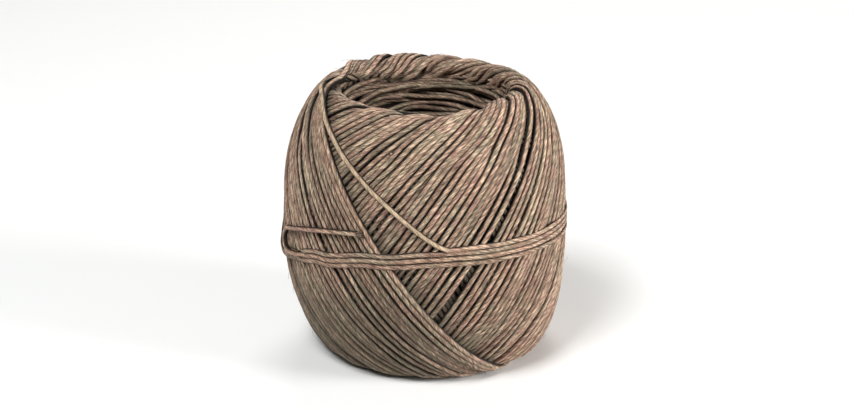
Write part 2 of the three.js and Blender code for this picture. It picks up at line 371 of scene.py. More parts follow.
@dataclass
class Strands:
    """Centre lines of strands, gathered into one edge mesh with what the sweep reads."""

    points: list[np.ndarray] = field(default_factory=list)
    outward: list[np.ndarray] = field(default_factory=list)
    girth: list[np.ndarray] = field(default_factory=list)
    tint: list[np.ndarray] = field(default_factory=list)
    shade: list[np.ndarray] = field(default_factory=list)
    pressed: list[np.ndarray] = field(default_factory=list)
    closed: list[bool] = field(default_factory=list)

    def add(self, points: np.ndarray, outward: np.ndarray, tint: float, shade: float | np.ndarray,
            girth: float | np.ndarray = 1.0, closed: bool = False, pressed: float = 0.0) -> None:
        """Adds one strand.

        Args:
            points: its centre line in the row frame, in millimetres.
            outward: the surface's direction outwards at each point.
            tint: the strand's own number from 0 to 1.
            shade: brightness, one number or one for each point.
            girth: share of the full section, one number or one for each point.
            closed: whether the strand closes on itself.
            pressed: how far its sides are pressed to its neighbours, from 0 to 1.
        """
        self.points.append(points)
        self.outward.append(outward)
        for rows, given in ((self.girth, girth), (self.tint, tint), (self.shade, shade),
                            (self.pressed, pressed)):
            rows.append(np.broadcast_to(given, len(points)))
        self.closed.append(closed)

    def add_line(self, line: np.ndarray, tint: float, shade: float, girth: float = 1.0,
                 closed: bool = False) -> None:
        """Adds one strand whose rows hold its points and then its outward directions."""
        self.add(line[:, :3], line[:, 3:], tint, shade, girth, closed)

    def edge_object(self, name: str) -> bpy.types.Object:
        """Makes the edge mesh, which the sweep's modifier turns into strands.

        Args:
            name: the object's name.

        Returns:
            The object.
        """
        edges = []
        start = 0
        for points, closed in zip(self.points, self.closed):
            run = np.arange(start, start + len(points))
            edges.append(np.stack([run[:-1], run[1:]], axis=1))
            if closed:
                edges.append(np.array([[run[-1], run[0]]]))
            start += len(points)
        every = np.concatenate(edges)
        mesh = bpy.data.meshes.new(name)
        mesh.vertices.add(start)
        mesh.edges.add(len(every))
        mesh.vertices.foreach_set("co", (np.concatenate(self.points) * METRES).ravel())
        mesh.edges.foreach_set("vertices", every.ravel())
        for layer in ("outward", "girth", "tint", "shade", "pressed"):
            kind, key = ("FLOAT_VECTOR", "vector") if layer == "outward" else ("FLOAT", "value")
            values = np.concatenate(getattr(self, layer)).astype(np.float32).ravel()
            mesh.attributes.new(layer, kind, "POINT").data.foreach_set(key, values)
        mesh.update()
        return linked(name, mesh)


class SweepTree:
    """Geometry Nodes that sweep a flattened round section along strands."""

    INPUTS = (
        ("Section Width", "NodeSocketFloat"),
        ("Section Height", "NodeSocketFloat"),
        ("Sides", "NodeSocketInt"),
        ("Finish", "NodeSocketMaterial"),
    )

    def __init__(self) -> None:
        """Builds the tree."""
        self.tree = bpy.data.node_groups.new("strand_sweep", "GeometryNodeTree")
        face = self.tree.interface
        face.new_socket("Strands", in_out="INPUT", socket_type="NodeSocketGeometry")
        for name, kind in self.INPUTS:
            face.new_socket(name, in_out="INPUT", socket_type=kind)
        face.new_socket("Geometry", in_out="OUTPUT", socket_type="NodeSocketGeometry")
        given = self._node("NodeGroupInput").outputs
        line = self._first("GeometryNodeMeshToCurve", {}, {0: given["Strands"]})
        lifted = self._first(
            "GeometryNodeSetCurveNormal", {"mode": "FREE"},
            {"Curve": line, "Normal": self._named("outward", "FLOAT_VECTOR")})
        scaled = self._first(
            "GeometryNodeSetCurveRadius", {},
            {"Curve": lifted, "Radius": self._named("girth", "FLOAT")})
        length = self._node("GeometryNodeSplineParameter").outputs["Length"]
        measured = self._first(
            "GeometryNodeStoreNamedAttribute", {"data_type": "FLOAT", "domain": "POINT"},
            {"Geometry": scaled, "Name": "along", "Value": length})
        circle = self._first(
            "GeometryNodeCurvePrimitiveCircle", {"mode": "RADIUS"},
            {"Resolution": given["Sides"], "Radius": 1.0})
        marked = self._first(
            "GeometryNodeStoreNamedAttribute", {"data_type": "FLOAT_VECTOR", "domain": "POINT"},
            {"Geometry": circle, "Name": "around",
             "Value": self._first("GeometryNodeInputPosition")})
        size = self._first("ShaderNodeCombineXYZ", {}, {
            0: self._half(given["Section Height"]), 1: self._half(given["Section Width"]),
            2: 1.0})
        section = self._first(
            "GeometryNodeTransform", {}, {"Geometry": marked, "Scale": size})
        swept = self._first(
            "GeometryNodeCurveToMesh", {},
            {"Curve": measured, "Profile Curve": section, "Fill Caps": True})
        smooth = self._first("GeometryNodeSetShadeSmooth", {}, {0: swept})
        real = self._first("GeometryNodeRealizeInstances", {}, {0: smooth})
        dressed = self._first(
            "GeometryNodeSetMaterial", {}, {"Geometry": real, "Material": given["Finish"]})
        self._node("NodeGroupOutput", {}, {0: dressed})

    def _node(self, kind: str, settings: dict | None = None,
              inputs: dict | None = None) -> bpy.types.Node:
        """Adds a node with its settings and its values or links."""
        return add_node(self.tree, kind, settings or {}, inputs or {})

    def _first(self, kind: str, settings: dict | None = None,
               inputs: dict | None = None) -> bpy.types.NodeSocket:
        """Adds a node and gives its first output."""
        return self._node(kind, settings, inputs).outputs[0]

    def _named(self, name: str, kind: str) -> bpy.types.NodeSocket:
        """Reads a named attribute."""
        return self._first("GeometryNodeInputNamedAttribute", {"data_type": kind}, {"Name": name})

    def _half(self, socket: bpy.types.NodeSocket) -> bpy.types.NodeSocket:
        """Half of a number."""
        return self._first("ShaderNodeMath", {"operation": "MULTIPLY"}, {0: socket, 1: 0.5})

    def sweep(self, strands: Strands, name: str, width: float, height: float, sides: int,
              finish: bpy.types.Material) -> bpy.types.Object:
        """Turns strands into one plain mesh object.

        Args:
            strands: the centre lines.
            name: the piece's name.
            width: the section across the strand, in millimetres.
            height: the section outwards, in millimetres.
            sides: corners of the section.
            finish: the material.

        Returns:
            The finished object.
        """
        source = strands.edge_object(name + "_lines")
        modifier = source.modifiers.new("sweep", "NODES")
        modifier.node_group = self.tree
        values = dict(zip((row[0] for row in self.INPUTS),
                          (width * METRES, height * METRES, sides, finish)))
        for item in self.tree.interface.items_tree:
            if item.item_type == "SOCKET" and item.name in values:
                modifier[item.identifier] = values[item.name]
        source.update_tag()
        graph = bpy.context.evaluated_depsgraph_get()
        mesh = bpy.data.meshes.new_from_object(source.evaluated_get(graph))
        mesh.name = name
        source.modifiers.clear()
        bpy.data.objects.remove(source)
        return linked(name, mesh)


# ---------------------------------------------------------------- lines and rows of numbers


def smooth_share(low: float, high: float, value: np.ndarray) -> np.ndarray:
    """Smooth step from 0 at low to 1 at high."""
    share = np.clip((value - low) / (high - low), 0, 1)
    return share * share * (3 - 2 * share)


def near(distance: np.ndarray, spread: float, power: int = 2) -> np.ndarray:
    """1 where a distance is 0, falling smoothly to 0 past its spread."""
    return np.exp(-(distance / spread) ** power)


def turned(angle: np.ndarray | float) -> np.ndarray:
    """An angle brought between -180 and 180 degrees."""
    return np.mod(np.asarray(angle) + 180, 360) - 180


def eased(values: np.ndarray, points: int = 49) -> np.ndarray:
    """Smooths the values round a closed turn.

    Args:
        values: one value for each point of the turn.
        points: how many neighbouring points share in one, an odd number.

    Returns:
        The smoothed values.
    """
    kernel = np.hanning(points)
    half = points // 2
    wrapped = np.concatenate([values[-half:], values, values[:half]])
    return np.convolve(wrapped, kernel / kernel.sum(), "valid")


def ripple(random: np.random.RandomState, angle: np.ndarray, orders: tuple,
           least: float = 0.35, falling: bool = False) -> np.ndarray:
    """Uneven waves round a turn, of random size and phase.

    Args:
        random: the source of the sizes and phases.
        angle: radians round the turn.
        orders: how often each wave goes round.
        least: the smallest size, where the largest is 1.
        falling: whether a wave of a higher order is lower by as much.

    Returns:
        The waves' sum at each angle.
    """
    return sum(
        random.uniform(least, 1.0) * np.cos(order * angle + random.uniform(0, WHOLE_TURN))
        / (order if falling else 1)
        for order in orders)


def bridged(levels: np.ndarray, rounds: int = 8) -> np.ndarray:
    """Levels along a tight strand, which spans the hollows between high places.

    Args:
        levels: how high the ball stands under the strand, from end to end.
        rounds: how many times each level is raised to its neighbours' middle.

    Returns:
        The raised levels.
    """
    for _ in range(rounds):
        before = np.concatenate([levels[:1], levels[:-1]])
        after = np.concatenate([levels[1:], levels[-1:]])
        levels = np.maximum(levels, (before + after) / 2)
    return levels


def smooth_line(points: np.ndarray, spacing: float, closed: bool = False) -> np.ndarray:
    """A smooth curve through points, resampled at even spacing.

    Args:
        points: rows of numbers, of which the first three are a place.
        spacing: distance between the new points.
        closed: whether the last point joins the first.

    Returns:
        The new rows.
    """
    rows = np.asarray(points, float)
    count = len(rows)
    if closed:
        padded = np.concatenate([rows[-1:], rows, rows[:2]])
        spans = count
    else:
        padded = np.concatenate([2 * rows[:1] - rows[1:2], rows, 2 * rows[-1:] - rows[-2:-1]])
        spans = count - 1
    share = np.linspace(0, 1, 16, endpoint=False)[:, None]
    parts = []
    for span in range(spans):
        a, b, c, d = padded[span:span + 4]
        parts.append(0.5 * (2 * b + (c - a) * share + (2 * a - 5 * b + 4 * c - d) * share ** 2
                            + (3 * b - a - 3 * c + d) * share ** 3))
    line = np.concatenate(parts)
    line = np.concatenate([line, line[:1] if closed else rows[-1:]])
    lengths = np.concatenate(
        [[0], np.cumsum(np.linalg.norm(np.diff(line[:, :3], axis=0), axis=1))])
    steps = max(int(round(lengths[-1] / spacing)), 4)
    places = np.linspace(0, lengths[-1], steps + 1)
    if closed:
        places = places[:-1]
    return np.stack([np.interp(places, lengths, line[:, i]) for i in range(line.shape[1])], 1)


# ---------------------------------------------------------------- the wound form


@dataclass
class WoundForm:
    """The barrel outline, its open core, and where a turn of twine lies on it."""

    radius: float = 44.5
    pole: float = 52.5
    fullness: float = 2.74
    crest: float = 44.4
    softness: float = 0.8
    lean_above: float = 0.7
    lean_below: float = 2.7
    # Height of the ball's middle over the floor
    rest_depth: float = 42.4
    # Below this height the turns are pressed flat, to a share of their depth past it
    pressed_below: float = -40.0
    pressed_share: float = 0.40
    lowest_clearance: float = 0.96
    axis_x: float = 0.380
    axis_y: float = 0.423
    tilt: float = 55.5
    last_turn: float = -103.5
    packed: tuple[float, float] = (122.0, 208.0)
    newest_level: float = 0.45
    fall_per_round: float = 2.2
    crossing_drop: float = 1.1
    barrel_end: float = 53.0
    # Radius and height down the rim and the core
    rim: tuple = ((31.9, 43.6), (31.1, 43.9), (30.2, 44.1), (29.3, 44.2), (28.4, 44.15),
                  (27.4, 43.85), (26.4, 43.2), (25.4, 42.0))
    core: tuple = ((24.6, 40.0), (23.8, 37.0), (21.2, 31.0), (17.6, 25.0), (14.4, 18.5),
                   (13.1, 9.0), (12.9, 0.0))
    outline_points: int = 900
    rounding_points: int = 14
    # Valleys between bundles: azimuth of the turns' highest point, depth, and half of the gap
    valleys: tuple = ((-150, 0.6, 0.15), (-131.2, 0.7, 0.6), (-118.2, 0.3, 0), (-83, 0.4, 0),
                      (-59, 0.7, 0), (-35, 0.5, 0), (-11, 0.7, 0), (13, 0.4, 0),
                      (37, 0.7, 0), (61, 0.5, 0), (85, 0.5, 0), (102.9, 0.5, 0),
                      (111.0, 0.9, 1.6), (123.0, 0.9, 1.1), (145, 0.6, 0),
                      (169, 0.7, 0), (190, 0.5, 0))
    crown: float = 0.6
    crown_at_rims: float = 1.1
    # Where the upper rim lies lower than the rest: azimuth, spread and depth
    dips: tuple = ((6.0, 22.0, 1.5), (140.0, 42.0, 1.5), (178.0, 30.0, 0.5))
    dips_start: tuple[float, float] = (36, 52)

    def __post_init__(self) -> None:
        """Measures the outline once, by its own length from the waist."""
        latitudes = np.linspace(0, 60, 481)
        radius, height = self.outline(latitudes)
        steps = np.hypot(np.diff(radius), np.diff(height))
        self._latitudes = latitudes
        self._reach = np.concatenate([[0], np.cumsum(steps)])
        barrel = latitudes <= self.barrel_end
        inner = np.array(self.rim + self.core)
        rows = np.concatenate([np.stack([radius[barrel], height[barrel]], 1), inner])
        lengths = np.concatenate([[0], np.cumsum(np.hypot(*np.diff(rows, axis=0).T))])
        self.length = float(lengths[-1])
        places = np.linspace(0, self.length, self.outline_points)
        line = np.stack([np.interp(places, lengths, rows[:, i]) for i in (0, 1)], 1)
        width = self.rounding_points
        kernel = np.hanning(2 * width + 1)
        kernel /= kernel.sum()
        mirrored = line[width:0:-1] * (1, -1)
        ended = line[-2:-width - 2:-1] * (1, -1)
        padded = np.concatenate([mirrored, line, ended])
        self._line = np.stack([np.convolve(padded[:, i], kernel, "valid") for i in (0, 1)], 1)
        self._places = places
        slope = np.gradient(self._line, axis=0)
        size = np.hypot(*slope.T)
        self._normal = np.stack([slope[:, 1] / size, -slope[:, 0] / size], 1)
        ordered = sorted((azimuth % 360, depth) for azimuth, depth, _ in self.valleys)
        self._valleys = np.array(ordered)

    def outline(self, latitude: np.ndarray) -> tuple[np.ndarray, np.ndarray]:
        """Radius and height of the barrel at a latitude, before any relief.

        Args:
            latitude: degrees above the waist, seen from the ball's middle.

        Returns:
            The radii and the heights.
        """
        turn = np.radians(latitude)
        across = np.cos(turn) / self.radius
        along = np.abs(np.sin(turn)) / self.pole
        reach = (across ** self.fullness + along ** self.fullness) ** (-1 / self.fullness)
        below = (self.crest - reach * np.abs(np.sin(turn))) / self.softness
        height = self.crest - self.softness * np.log1p(np.exp(below))
        return reach * np.cos(turn), np.sign(latitude) * height

    def reach_at(self, latitude: np.ndarray) -> np.ndarray:
        """Length along the outline from the waist to a latitude, negative below the waist."""
        return np.sign(latitude) * np.interp(np.abs(latitude), self._latitudes, self._reach)

    def place(self, azimuth: np.ndarray, reach: np.ndarray,
              level: np.ndarray) -> tuple[np.ndarray, np.ndarray]:
        """Points of the row frame at a place on the wound form.

        Args:
            azimuth: degrees round the ball.
            reach: length along the outline from the waist, negative below it.
            level: height above the outline.

        Returns:
            The points in millimetres, and the directions outwards.
        """
        side = np.where(reach < 0, -1.0, 1.0)
        at = np.abs(reach)
        depth = sum(depth * near(turned(azimuth - middle), spread)
                    for middle, spread, depth in self.dips)
        level = level - depth * smooth_share(*self.dips_start, reach)
        radius, height = (np.interp(at, self._places, self._line[:, i]) for i in (0, 1))
        out, up = (np.interp(at, self._places, self._normal[:, i]) for i in (0, 1))
        radius = radius + out * level
        height = side * (height + up * level)
        pressed = self.pressed_below + (height - self.pressed_below) * self.pressed_share
        pressed = np.maximum(pressed, self.lowest_clearance - self.rest_depth)
        height = np.where(height < self.pressed_below, pressed, height)
        turn = np.radians(azimuth)
        outward = np.stack([out * np.sin(turn), -out * np.cos(turn), side * up], -1)
        return self.placed(azimuth, radius, height), outward

    def radius_at(self, reach: np.ndarray) -> np.ndarray:
        """Radius of the outline at a length along it."""
        return np.interp(np.abs(reach), self._places, self._line[:, 0])

    def placed(self, azimuth: np.ndarray, radius: np.ndarray, height: np.ndarray) -> np.ndarray:
        """Points of the row frame at a radius and height, with the ball's lean.

        Args:
            azimuth: degrees round the ball.
            radius: distance from its axis.
            height: height above its middle.

        Returns:
            The points in millimetres.
        """
        share = height / self.crest
        lean = np.where(height < 0, self.lean_below, self.lean_above) * share * share
        turn = np.radians(azimuth)
        x = radius * np.sin(turn) + lean + self.axis_x
        y = -radius * np.cos(turn) + self.axis_y
        return np.stack([x, y, height + self.rest_depth], -1)

    def age(self, line: np.ndarray) -> np.ndarray:
        """Degrees of winding since a turn was laid."""
        return np.mod(self.last_turn - line, 360)

    def packing(self, line: float) -> float:
        """How closely a turn is pressed to its neighbours.

        Args:
            line: azimuth of the turn's highest point.

        Returns:
            A share from 0 to 1.
        """
        start, end = self.packed
        at = (line - start) % 360
        return float(smooth_share(-2, 3, np.array(at)) * (1 - smooth_share(
            end - start - 4, end - start + 4, np.array(at))))

    def bundle_height(self, line: np.ndarray) -> np.ndarray:
        """Crown of a bundle, falling to the valleys at its sides.

        Args:
            line: azimuth of a turn's highest point.

        Returns:
            The turn's height over the outline's own level.
        """
        azimuth = np.mod(line, 360)
        index = np.searchsorted(self._valleys[:, 0], azimuth, side="right") % len(self._valleys)
        after = self._valleys[index]
        before = self._valleys[index - 1]
        width = np.mod(after[..., 0] - before[..., 0], 360)
        share = np.mod(azimuth - before[..., 0], 360) / width
        depth = np.where(share < 0.5, before[..., 1], after[..., 1])
        bow = 4 * share * (1 - share)
        return self.crown * bow - depth * (1 - bow) ** 3

    def relief(self, azimuth: np.ndarray, latitude: np.ndarray) -> np.ndarray:
        """Height of the outer turns above the outline.

        Args:
            azimuth: degrees round the ball.
            latitude: degrees above the waist.

        Returns:
            The height of the newer of the two turns that cross there.
        """
        slope = np.tan(np.radians(latitude)) / math.tan(math.radians(self.tilt))
        crossing = np.degrees(np.arccos(np.clip(slope, -1, 1)))
        falling = azimuth + crossing
        rising = azimuth - crossing
        newer = np.where(self.age(falling) < self.age(rising), falling, rising)
        level = self.newest_level - self.fall_per_round * self.age(newer) / 360
        return level + self.bundle_height(newer)

    def tight_radius(self, azimuth: np.ndarray, height: np.ndarray) -> np.ndarray:
        """The highest that the ball stands near a place, which a tight strand bridges.

        Args:
            azimuth: degrees round the ball.
            height: height above its middle.

        Returns:
            The largest radius within a few millimetres.
        """
        highest = np.zeros_like(np.asarray(azimuth, float))
        for turn in range(-2, 3):
            for shift in (-1, 0, 1):
                latitude = np.degrees(np.arctan2(height + shift, self.radius))
                stands = self.outline(latitude)[0] + self.relief(azimuth + 3.0 * turn, latitude)
                highest = np.maximum(highest, stands)
        return highest


# ---------------------------------------------------------------- the wound ball


@dataclass
class Bundle:
    """Neighbouring turns between two valleys."""

    start: float
    room: float
    # Spacing below which each turn sinks under its neighbours, at the top and at the bottom
    limits: tuple[np.ndarray, np.ndarray]
    # Room that a sunken turn still takes
    sunken_room: float = 0.02

    @property
    def count(self) -> int:
        """Number of turns."""
        return len(self.limits[0])

    @property
    def pitch(self) -> float:
        """Degrees from turn to turn."""
        return self.room / self.count

    def line(self, number: int) -> float:
        """Azimuth of the highest point of a turn."""
        return self.start + (number + 0.5) * self.pitch

    def spread(self, number: int, spacing: np.ndarray, limits: np.ndarray) -> tuple:
        """How a turn moves aside as its neighbours sink.

        Args:
            number: the turn's place in the bundle.
            spacing: distance between turns at each point.
            limits: spacing below which each turn of the bundle sinks.

        Returns:
            Degrees that it moves, how much wider its room gets, and its own limit.
        """
        rises = smooth_share(SUNK * limits, limits + TINY, spacing[:, None])
        shown = np.where(limits > 0, rises, 1.0) + self.sunken_room
        total = shown.sum(1)
        place = (np.cumsum(shown, 1)[:, number] - shown[:, number] / 2) / total
        moved = (place - (number + 0.5) / self.count) * self.room
        return moved, self.count / total, np.full(len(spacing), limits[number])


@dataclass
class WoundBall:
    """The outer rounds of turns, the turns that line the core, and the heart, painted dark as the
    shade between turns.
    """

    form: WoundForm
    sweep: SweepTree
    pitch: float = 2.95
    width: float = 1.86
    height: float = 1.66
    sides: int = 12
    hidden_sides: int = 6
    dense_points: int = 1080
    points_per_turn: int = 150
    under_points: int = 100
    pieces: int = 3
    # How far a turn runs on over the rim, and the degrees from its highest point that this takes
    rim_turn_in: float = 10.8
    rim_turn_in_newest: float = 3.2
    rim_spread: float = 27.0
    rim_scatter: float = 0.6
    # Degrees of winding that count as the newest turns
    newest_turns: float = 47.0
    # Where a turn goes back it dives under the lip: depth, range of depths, and degrees
    rim_dive: float = 2.3
    rim_layers: float = 0.9
    dive_spread: float = 16.0
    # Length along the outline from the latitude of the tilt to the lip
    rim_lip: float = 8.2
    # Spacing below which turns crowd, and shares of it at which those of a small group sink
    crowding: float = 1.80
    proud: tuple = (0.0, 0.0, 0.27, 0.34)
    group: tuple = (0.57, 1.0, 0.5)
    group_sizes: tuple = (2, 3, 3, 3, 4)
    group_scatter: tuple[float, float] = (0.86, 1.10)
    # How far a crowded turn sinks, first and then further, and how much less the newest do
    rim_dip: float = 1.05
    second_dip: float = 0.3
    newest_evenness: float = 0.7
    # What a turn loses under a newer one: brightness as painted shade, depth where turns crowd,
    # and thickness
    covered_shade: float = 0.66
    covered_drop: float = 0.8
    covered_thinning: float = 0.12
    # Brightness that a turn loses for each millimetre that it has sunk
    dip_shade: float = 0.22
    # Depth of the turns' middles under the outline
    sink: float = 0.70
    # Small unevenness of each turn
    unevenness: float = 0.14
    own_shift: float = 0.8
    waviness: float = 0.03
    swelling: float = 0.022
    # Turns that draw together in groups, by waves round the ball
    clustering: float = 0.17
    cluster_rates: tuple[float, float] = (0.436, 0.277)
    cluster_slopes: tuple[float, float] = (0.436, 0.194)
    second_cluster: float = 0.7
    girth_limits: tuple[float, float] = (0.74, 1.14)
    girth_of_spacing: float = 0.97
    packed_girth: float = 0.10
    # Painted shade on the lower left, away from the lights: share, reach where it starts and is
    # full, and middle azimuth
    low_left_shade: float = 0.36
    low_left_shade_reach: tuple[float, float] = (4, -26)
    low_left_shade_azimuth: float = -60.0
    low_left_shade_spread: tuple[float, float] = (30, 110)
    # More points where a turn bends sharply
    bend_points: float = 0.6
    bend_spread: float = 38.0
    under_shade: float = 0.30
    # Rounds that line the core: layer and depth
    core_layers: tuple = ((0, 0.0), (1, 1.1), (2, 2.1))
    core_pitch: float = 1.95
    core_wave: float = 2.1
    core_swell: float = 0.8
    core_level: float = -0.9
    core_girth: float = 1.10
    core_shade: float = 0.80
    # How far the lining lies back just under the lip
    core_hollow: float = 1.7
    core_hollow_spread: float = 2.6
    heart_columns: int = 72
    heart_step: float = 2.0
    # Depth of the heart under the turns, and in the core past a reach
    heart_depth: float = -3.9
    heart_core_depth: float = -3.2
    heart_core_reach: float = 58.0
    fibres: int = 700
    fibre_thickness: float = 0.075
    fibre_length: tuple[float, float] = (1.2, 3.6)
    fibre_lift: tuple[float, float] = (0.15, 0.75)
    fibre_bend: float = 0.7
    fibre_lowest: float = 0.06

    def bundles(self, random: np.random.RandomState) -> list[Bundle]:
        """The outer round's bundles, each between two valleys.

        Args:
            random: the source of how its turns sink.

        Returns:
            The bundles, from the oldest turn to the newest.
        """
        last = self.form.last_turn
        edges = sorted(self.form.valleys + ((last, 0, 0),), key=lambda row: (row[0] - last) % 360)
        made = []
        for (start, _, first_gap), (end, _, last_gap) in zip(edges, edges[1:] + edges[:1]):
            room = (end - start) % 360 - first_gap - last_gap
            count = max(int(round(room / self.pitch)), 1)
            limits = (self.settling(count, random), self.settling(count, random))
            made.append(Bundle(start + first_gap, room, limits))
        return made

    def settling(self, count: int, random: np.random.RandomState) -> np.ndarray:
        """Spacing between turns below which each turn sinks under its neighbours.

        One turn of each small group stays proud longest, the last one sinks first.

        Args:
            count: number of turns.
            random: the source of the groups.

        Returns:
            The spacing for each turn.
        """
        limits: list[float] = []
        while len(limits) < count:
            first = self.crowding * random.choice(self.proud)
            group = (first, *(self.crowding * share for share in self.group))
            limits += group[:random.choice(self.group_sizes)]
        shift = random.randint(0, 3)
        rolled = np.roll(np.array(limits[:count + shift]), -shift)[:count]
        return rolled * random.uniform(*self.group_scatter, len(rolled))

    def turn_reach(self, dense: np.ndarray, low: np.ndarray, newest: float,
                   random: np.random.RandomState) -> np.ndarray:
        """How far along the outline a turn lies.

        Args:
            dense: degrees round the turn from its highest point.
            low: degrees round the turn from its lowest point.
            newest: how near the turn is to the last one, from 0 to 1.
            random: the source of its scatter at the rims.

        Returns:
            The length along the outline at each point.
        """
        steep = math.tan(math.radians(self.form.tilt))
        latitude = np.degrees(np.arctan(steep * np.cos(np.radians(dense))))
        turn_in = self.rim_turn_in + newest * (self.rim_turn_in_newest - self.rim_turn_in)
        turn_in += random.uniform(-1, 1) * self.rim_scatter * (1 - newest)
        reach = self.form.reach_at(latitude) + turn_in * near(dense, self.rim_spread)
        return reach - turn_in * near(low, self.rim_spread)

    def sinking(self, limit: np.ndarray, spacing: np.ndarray, newest: float) -> np.ndarray:
        """How far a turn sinks where turns crowd.

        Args:
            limit: spacing below which it sinks, or 0 where it never does.
            spacing: distance between turns at each point.
            newest: how near the turn is to the last one, from 0 to 1.

        Returns:
            The depth at each point.
        """
        dip = self.rim_dip * (1 - smooth_share(SUNK * limit, limit + TINY, spacing))
        further = 1 - smooth_share(0.3 * limit, 0.5 * limit + TINY, spacing)
        dip = dip + self.second_dip * self.rim_dip * further
        return np.where(limit > 0, dip, 0) * (1 - self.newest_evenness * newest)

    def clusters(self, line: float, angle: np.ndarray) -> tuple[np.ndarray, np.ndarray]:
        """How turns draw together in groups.

        Args:
            line: azimuth of the turn's highest point.
            angle: radians round the turn.

        Returns:
            Pitches that the turn moves aside, and how that changes from turn to turn.
        """
        first = line * self.cluster_rates[0] + 1.7 * np.sin(2 * angle + 0.4)
        second = line * self.cluster_rates[1] + 2.2 * np.cos(angle + 1)
        slopes = self.cluster_slopes
        return (np.sin(first) + self.second_cluster * np.sin(second),
                slopes[0] * np.cos(first) + slopes[1] * np.cos(second))

    def crossing_depth(self, dense: np.ndarray) -> np.ndarray:
        """How far a turn has dropped towards its next crossing, from 0 to 1 and eased."""
        first = np.where(dense > 0, np.clip(1 - dense / 90, 0, 1), 0)
        second = np.where(dense < -90, np.clip(1 - (dense + 180) / 90, 0, 1), 0)
        return eased(first + second)

    def resampled(self, points: np.ndarray, outward: np.ndarray, bends: np.ndarray,
                  count: int) -> tuple[np.ndarray, np.ndarray, np.ndarray]:
        """Fewer points round a closed turn, closer where it bends.

        Args:
            points: its dense points.
            outward: its directions outwards.
            bends: where it bends, from 0 to 1.
            count: how many points to keep.

        Returns:
            The points, the directions, and the dense point before each.
        """
        steps = np.linalg.norm(np.diff(points, axis=0, append=points[:1]), axis=1)
        measure = np.concatenate([[0], np.cumsum(steps * (1 + self.bend_points * bends))])
        places = np.linspace(0, measure[-1], count + 1)[:-1]
        at = np.interp(places, measure, np.arange(len(points) + 1))
        pick = np.floor(at).astype(int) % len(points)
        after = (pick + 1) % len(points)
        share = (at - np.floor(at))[:, None]
        points = points[pick] * (1 - share) + points[after] * share
        outward = outward[pick] * (1 - share) + outward[after] * share
        return points, outward, pick

    def turn_path(self, bundle: Bundle, number: int, count: int, random: np.random.RandomState,
                  under: float = 0.0) -> tuple:
        """One closed turn.

        Args:
            bundle: the bundle that it is in.
            number: its place in the bundle.
            count: points along it.
            random: the source of its small unevenness.
            under: how far it lies below the outermost round.

        Returns:
            Points, outward directions, and the share of the full section and of the full
            brightness, lowered by painted shade, at each point.
        """
        form = self.form
        dense = np.linspace(-180, 180, self.dense_points + 1)[:-1]
        angle = np.radians(dense)
        low = turned(dense + 180)
        line = bundle.line(number)
        age = float(form.age(line))
        newest = float(smooth_share(self.newest_turns, 0, np.array(age)))
        reach = self.turn_reach(dense, low, newest, random)
        slope = np.gradient(reach, math.radians(dense[1] - dense[0]))
        radius = form.radius_at(reach)
        spacing = (math.radians(bundle.pitch) * radius * np.abs(slope)
                   / np.hypot(radius, slope))
        crowd = 1 - smooth_share(0.5 * self.crowding, self.crowding, spacing)
        above = np.abs(dense) < 90
        moved, opened, limit = (
            np.where(above, *pair) for pair in zip(*(
                bundle.spread(number, spacing, limits) for limits in bundle.limits)))
        dip = self.sinking(limit, spacing, newest)
        moved = moved * (1 - newest)
        waves = ripple(random, angle, (2, 3, 5, 8, 13), falling=True)
        heights = ripple(random, angle, (3, 5, 9, 14))
        swell = ripple(random, angle, (11, 19, 31, 43))
        cluster, gathered = self.clusters(line, angle)
        drawn = self.clustering * bundle.pitch
        opened = opened * (1 + drawn * gathered)
        own = random.uniform(-self.own_shift, self.own_shift)
        azimuth = line + dense + moved + self.unevenness * (waves + own) + drawn * cluster
        crown = float(form.bundle_height(np.array(line))) * (0.85 + form.crown_at_rims * crowd)
        level = (form.newest_level - form.fall_per_round * age / 360
                 - form.crossing_drop * self.crossing_depth(dense) + crown
                 - self.sink - under + self.waviness * heights - dip)
        inmost = near(dense, self.dive_spread) + near(low, self.dive_spread)
        layers = self.rim_layers * (number * 0.382 % 1) + self.rim_dive
        level = level - layers * inmost * (1 - newest)
        beneath = eased(form.age(line + 2 * dense) < age)
        level = level - self.covered_drop * beneath * crowd * (1 - np.clip(inmost, 0, 1))
        points, outward = form.place(azimuth, reach, level)
        girth = (np.clip(self.girth_of_spacing * spacing * opened / self.width,
                         *self.girth_limits)
                 * (1 + self.swelling * swell) * (1 + self.packed_girth * form.packing(line))
                 * (1 - self.covered_thinning * beneath))
        # Painted shade: darker on the lower left, away from the lights
        side = np.abs(turned(azimuth - self.low_left_shade_azimuth))
        low_left_mask = smooth_share(*self.low_left_shade_reach, reach) * (
            1 - smooth_share(*self.low_left_shade_spread, side))
        # Painted shade: darker under a newer crossing turn and where the turn has sunk
        shade = ((1 - self.covered_shade * beneath) * (1 - self.dip_shade * np.clip(dip, 0, 1.5))
                 * (1 - self.low_left_shade * low_left_mask))
        bends = near(dense, self.bend_spread, 4) + near(low, self.bend_spread, 4)
        points, outward, pick = self.resampled(points, outward, bends, count)
        return points, outward, girth[pick], shade[pick]

    def outer_pieces(self, finish: bpy.types.Material) -> list[bpy.types.Object]:
        """The outer round in a few pieces.

        Args:
            finish: the material.

        Returns:
            The pieces.
        """
        random = np.random.RandomState(11)
        turns = [(bundle, number) for bundle in self.bundles(random)
                 for number in range(bundle.count)]
        made = []
        for part, chosen in enumerate(np.array_split(np.arange(len(turns)), self.pieces)):
            strands = Strands()
            for bundle, number in (turns[index] for index in chosen):
                points, outward, girth, shade = self.turn_path(
                    bundle, number, self.points_per_turn, random)
                strands.add(points, outward, random.uniform(0, 1), shade,
                            girth * random.uniform(0.96, 1.04), closed=True,
                            pressed=self.form.packing(bundle.line(number)))
            made.append(self.sweep.sweep(
                strands, f"outer_turns_{part + 1}", self.width, self.height, self.sides, finish))
        return made

